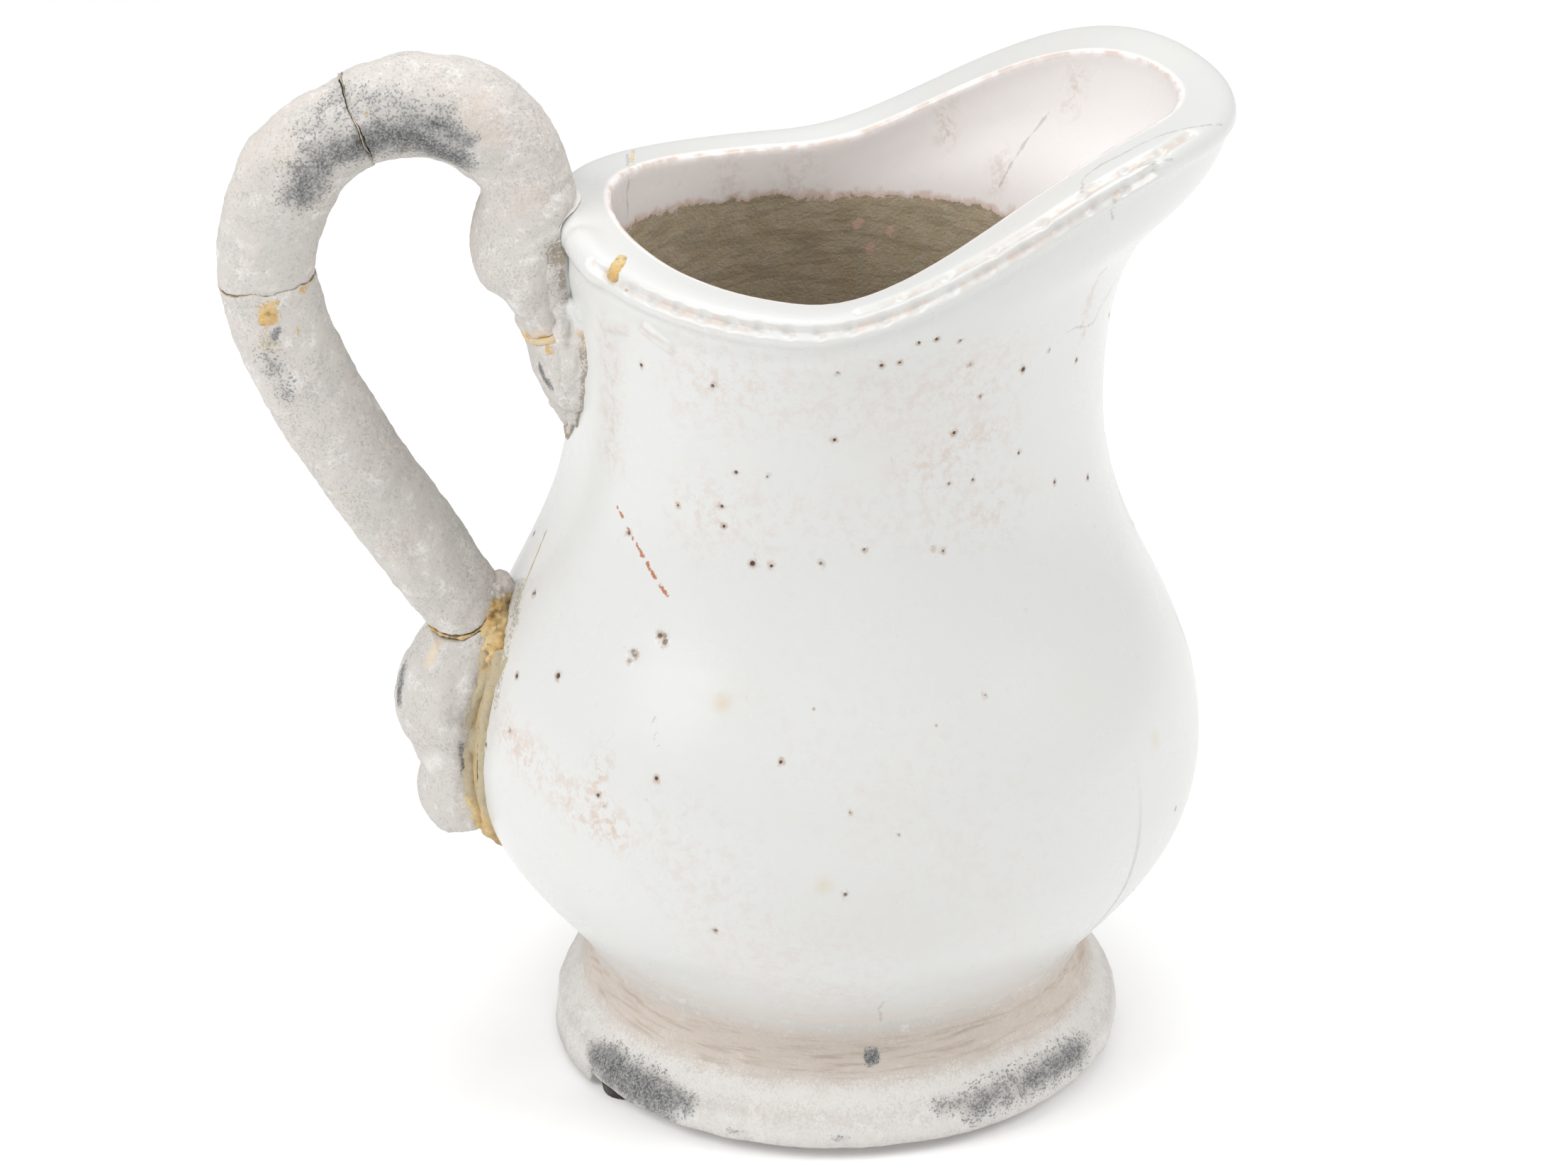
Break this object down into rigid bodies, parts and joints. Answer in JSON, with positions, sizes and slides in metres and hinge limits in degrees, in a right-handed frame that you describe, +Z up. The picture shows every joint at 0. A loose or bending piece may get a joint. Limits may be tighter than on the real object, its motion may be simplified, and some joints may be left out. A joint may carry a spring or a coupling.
{
  "type": "ceramic pitcher",
  "caption": "White glazed ceramic pitcher with a broad pouring lip, a bare clay foot and a loop handle mended with visible adhesive, on small pads.",
  "frame": {"origin": "on the surface that the pads stand on, under the middle of the whole pitcher with its lip and handle; the vessel's axis is 26.2 mm towards +X of it", "axes": "+Z up along the vessel's axis, +X towards the pouring lip, handle on the -X side"},
  "size_m": [0.2392, 0.1794, 0.2587],
  "materials": {
    "glazed_body": "glossy white glaze with fine pinholes and crazing",
    "bare_clay": "matt unglazed fired clay, worn grey in patches",
    "clay_slip": "matt beige-brown slip",
    "adhesive": "aged ochre filled adhesive, satin",
    "pad_rubber": "matt dark bumper pad"
  },
  "bodies": {
    "root": {"vessel_body": "glazed_body", "foot_ring": "bare_clay", "foot_luting_ring": "clay_slip", "handle_root": "bare_clay", "handle_crown": "bare_clay", "handle_shaft": "bare_clay", "leaf_tip": "bare_clay", "lower_terminal": "bare_clay", "crown_joint_adhesive": "adhesive", "shaft_joint_adhesive": "adhesive", "leaf_joint_filler": "adhesive", "lower_joint_filler": "adhesive", "terminal_bedding": "adhesive", "root_bedding": "adhesive", "leaf_bedding": "adhesive", "shaft_chip_filler": "adhesive", "rim_crack_filler": "adhesive", "rim_chip_filler": "adhesive", "foot_pad_1": "pad_rubber", "foot_pad_2": "pad_rubber", "foot_pad_3": "pad_rubber", "foot_pad_4": "pad_rubber"}
  },
  "joints": []
}
